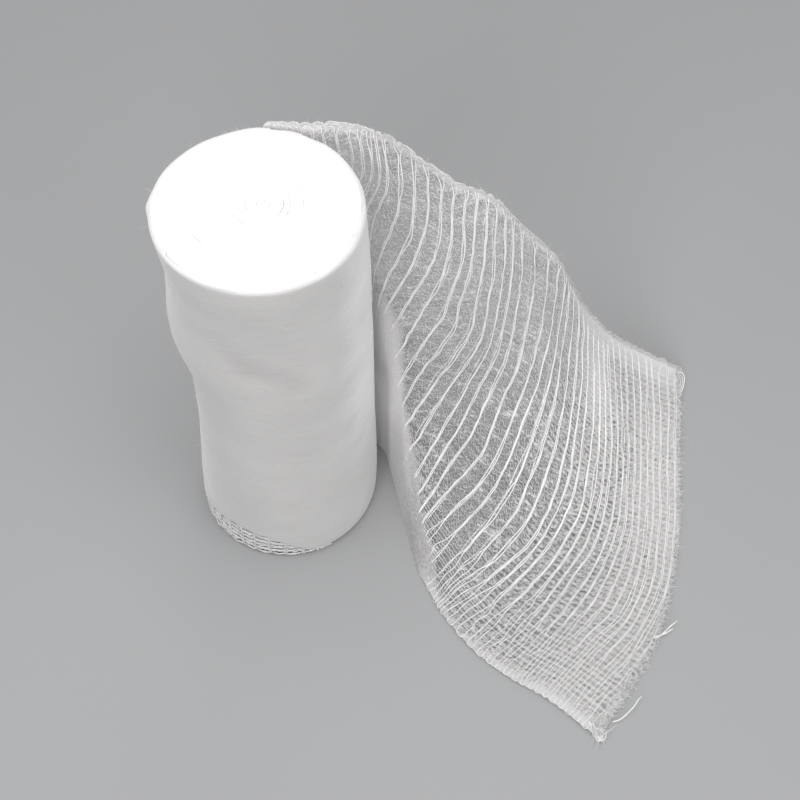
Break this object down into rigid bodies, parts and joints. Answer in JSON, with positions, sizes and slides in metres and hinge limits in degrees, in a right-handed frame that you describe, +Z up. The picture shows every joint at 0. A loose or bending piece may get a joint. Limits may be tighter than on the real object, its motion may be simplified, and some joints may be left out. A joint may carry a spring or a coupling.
{
  "type": "gauze bandage roll",
  "caption": "Crinkled conforming gauze bandage, standing on its end as a roll, its loose end twisting over to lie flat beside it.",
  "frame": {"origin": "on the axis of the winding, at the flat base that it stands on", "axes": "+Z up along the roll's axis; +X towards the cut end of the loose end; -Y towards the side the picture was taken from"},
  "size_m": [0.0899, 0.0739, 0.0751],
  "materials": {
    "wound_gauze": "soft matt crinkled white gauze, many layers, opaque",
    "loose_gauze": "one layer of open crinkled white gauze, sheer, with bright crosswise yarns"
  },
  "bodies": {
    "root": {"wound_roll": "wound_gauze", "loose_end": "loose_gauze"}
  },
  "joints": []
}
